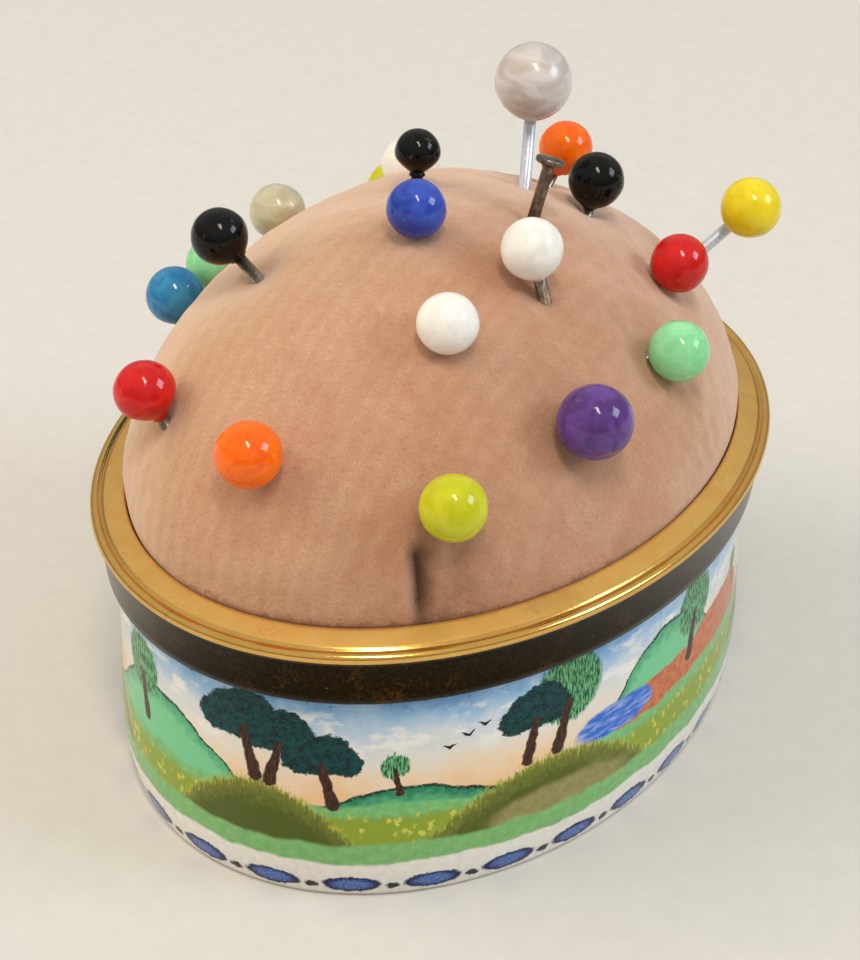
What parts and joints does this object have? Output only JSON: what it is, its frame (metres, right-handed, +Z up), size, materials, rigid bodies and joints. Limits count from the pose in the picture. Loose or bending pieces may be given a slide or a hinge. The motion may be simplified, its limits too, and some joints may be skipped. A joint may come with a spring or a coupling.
{
  "type": "pin cushion",
  "caption": "Oval enamelled copper box with a gilt rim, filled by a domed velvet cushion that holds loose ball-headed pins, each free to be pulled out along its shank.",
  "frame": {"origin": "centre of the box's flat underside", "axes": "+Z up; Y along the oval's long axis; X along its short axis; the cushion's crease faces -Y"},
  "size_m": [0.0345, 0.045, 0.0352],
  "materials": {
    "painted_enamel": "gloss",
    "copper": "satin",
    "lining_enamel": "gloss",
    "gilt_brass": "polished",
    "velvet": "worn pile",
    "wadding": "matt",
    "card": "matt",
    "thread": "matt",
    "pin_steel": "polished",
    "white_pearl": "pearl lustre",
    "cream_pearl": "pearl lustre",
    "white_glass": "gloss",
    "black_glass": "gloss",
    "orange_glass": "gloss",
    "red_glass": "gloss",
    "mint_glass": "gloss",
    "lime_glass": "gloss",
    "sky_blue_glass": "gloss",
    "royal_blue_glass": "gloss",
    "yellow_glass": "gloss",
    "purple_glass": "gloss"
  },
  "bodies": {
    "box": {"enamel_coat": "painted_enamel", "copper_shell": "copper", "lining_enamel": "lining_enamel", "gilt_rim": "gilt_brass", "velvet_cover": "velvet", "cushion_filling": "wadding", "base_card": "card", "gathering_thread": "thread"},
    "pearl_tall": {"pearl_tall_head": "white_pearl", "pearl_tall_shank": "pin_steel"},
    "pearl_left": {"pearl_left_head": "cream_pearl", "pearl_left_shank": "pin_steel"},
    "white_upper": {"white_upper_head": "white_glass", "white_upper_shank": "pin_steel"},
    "white_middle": {"white_middle_head": "white_glass", "white_middle_shank": "pin_steel"},
    "white_back": {"white_back_head": "white_glass", "white_back_shank": "pin_steel"},
    "black_right": {"black_right_head": "black_glass", "black_right_shank": "pin_steel"},
    "black_left": {"black_left_head": "black_glass", "black_left_shank": "pin_steel"},
    "black_top": {"black_top_head": "black_glass", "black_top_shank": "pin_steel"},
    "orange_back": {"orange_back_head": "orange_glass", "orange_back_shank": "pin_steel"},
    "orange_front": {"orange_front_head": "orange_glass", "orange_front_shank": "pin_steel"},
    "red_right": {"red_right_head": "red_glass", "red_right_shank": "pin_steel"},
    "red_left": {"red_left_head": "red_glass", "red_left_shank": "pin_steel"},
    "mint_right": {"mint_right_head": "mint_glass", "mint_right_shank": "pin_steel"},
    "mint_left": {"mint_left_head": "mint_glass", "mint_left_shank": "pin_steel"},
    "lime_front": {"lime_front_head": "lime_glass", "lime_front_shank": "pin_steel"},
    "lime_back": {"lime_back_head": "lime_glass", "lime_back_shank": "pin_steel"},
    "blue_left": {"blue_left_head": "sky_blue_glass", "blue_left_shank": "pin_steel"},
    "blue_top": {"blue_top_head": "royal_blue_glass", "blue_top_shank": "pin_steel"},
    "yellow_right": {"yellow_right_head": "yellow_glass", "yellow_right_shank": "pin_steel"},
    "purple_right": {"purple_right_head": "purple_glass", "purple_right_shank": "pin_steel"},
    "steel_flat": {"steel_flat_pin": "pin_steel"}
  },
  "joints": [
    {"name": "pearl_tall_pull", "type": "slide", "parent": "box", "child": "pearl_tall", "axis": [0.0076, 0.0868, 0.9962], "range_m": [-0.0025, 0.021]},
    {"name": "pearl_left_pull", "type": "slide", "parent": "box", "child": "pearl_left", "axis": [-0.683, 0.183, 0.7071], "range_m": [0, 0.0187]},
    {"name": "white_upper_pull", "type": "slide", "parent": "box", "child": "white_upper", "axis": [-0.2432, -0.0885, 0.9659], "range_m": [-0.0008, 0.0175]},
    {"name": "white_middle_pull", "type": "slide", "parent": "box", "child": "white_middle", "axis": [0.1094, -0.4082, 0.9063], "range_m": [0, 0.0188]},
    {"name": "white_back_pull", "type": "slide", "parent": "box", "child": "white_back", "axis": [-0.6209, 0.1664, 0.766], "range_m": [0, 0.0188]},
    {"name": "black_right_pull", "type": "slide", "parent": "box", "child": "black_right", "axis": [0.1294, 0.2241, 0.9659], "range_m": [0, 0.0185]},
    {"name": "black_left_pull", "type": "slide", "parent": "box", "child": "black_left", "axis": [-0.6964, -0.1228, 0.7071], "range_m": [-0.0012, 0.0175]},
    {"name": "black_top_pull", "type": "slide", "parent": "box", "child": "black_top", "axis": [-0.1094, 0.2346, 0.9659], "range_m": [-0.0007, 0.018]},
    {"name": "orange_back_pull", "type": "slide", "parent": "box", "child": "orange_back", "axis": [0.2988, 0.2988, 0.9063], "range_m": [-0.0007, 0.018]},
    {"name": "orange_front_pull", "type": "slide", "parent": "box", "child": "orange_front", "axis": [0, -0.7071, 0.7071], "range_m": [0, 0.0188]},
    {"name": "red_right_pull", "type": "slide", "parent": "box", "child": "red_right", "axis": [0.75, -0.433, 0.5], "range_m": [0, 0.018]},
    {"name": "red_left_pull", "type": "slide", "parent": "box", "child": "red_left", "axis": [-0.3462, -0.2424, 0.9063], "range_m": [0, 0.0185]},
    {"name": "mint_right_pull", "type": "slide", "parent": "box", "child": "mint_right", "axis": [0.866, 0, 0.5], "range_m": [0, 0.0188]},
    {"name": "mint_left_pull", "type": "slide", "parent": "box", "child": "mint_left", "axis": [-0.8754, 0.4082, 0.2588], "range_m": [0, 0.0187]},
    {"name": "lime_front_pull", "type": "slide", "parent": "box", "child": "lime_front", "axis": [0.4924, -0.4132, 0.766], "range_m": [0, 0.0187]},
    {"name": "lime_back_pull", "type": "slide", "parent": "box", "child": "lime_back", "axis": [-0.6943, 0.3237, 0.6428], "range_m": [0, 0.0182]},
    {"name": "blue_left_pull", "type": "slide", "parent": "box", "child": "blue_left", "axis": [-0.6403, -0.056, 0.766], "range_m": [0, 0.0186]},
    {"name": "blue_top_pull", "type": "slide", "parent": "box", "child": "blue_top", "axis": [0.2241, -0.1294, 0.9659], "range_m": [0, 0.0187]},
    {"name": "yellow_right_pull", "type": "slide", "parent": "box", "child": "yellow_right", "axis": [0.633, 0.1116, 0.766], "range_m": [-0.0025, 0.015]},
    {"name": "purple_right_pull", "type": "slide", "parent": "box", "child": "purple_right", "axis": [0.5198, -0.2424, 0.8192], "range_m": [0, 0.0187]},
    {"name": "steel_flat_pull", "type": "slide", "parent": "box", "child": "steel_flat", "axis": [0.117, 0.3214, 0.9397], "range_m": [-0.003, 0.0195]}
  ]
}
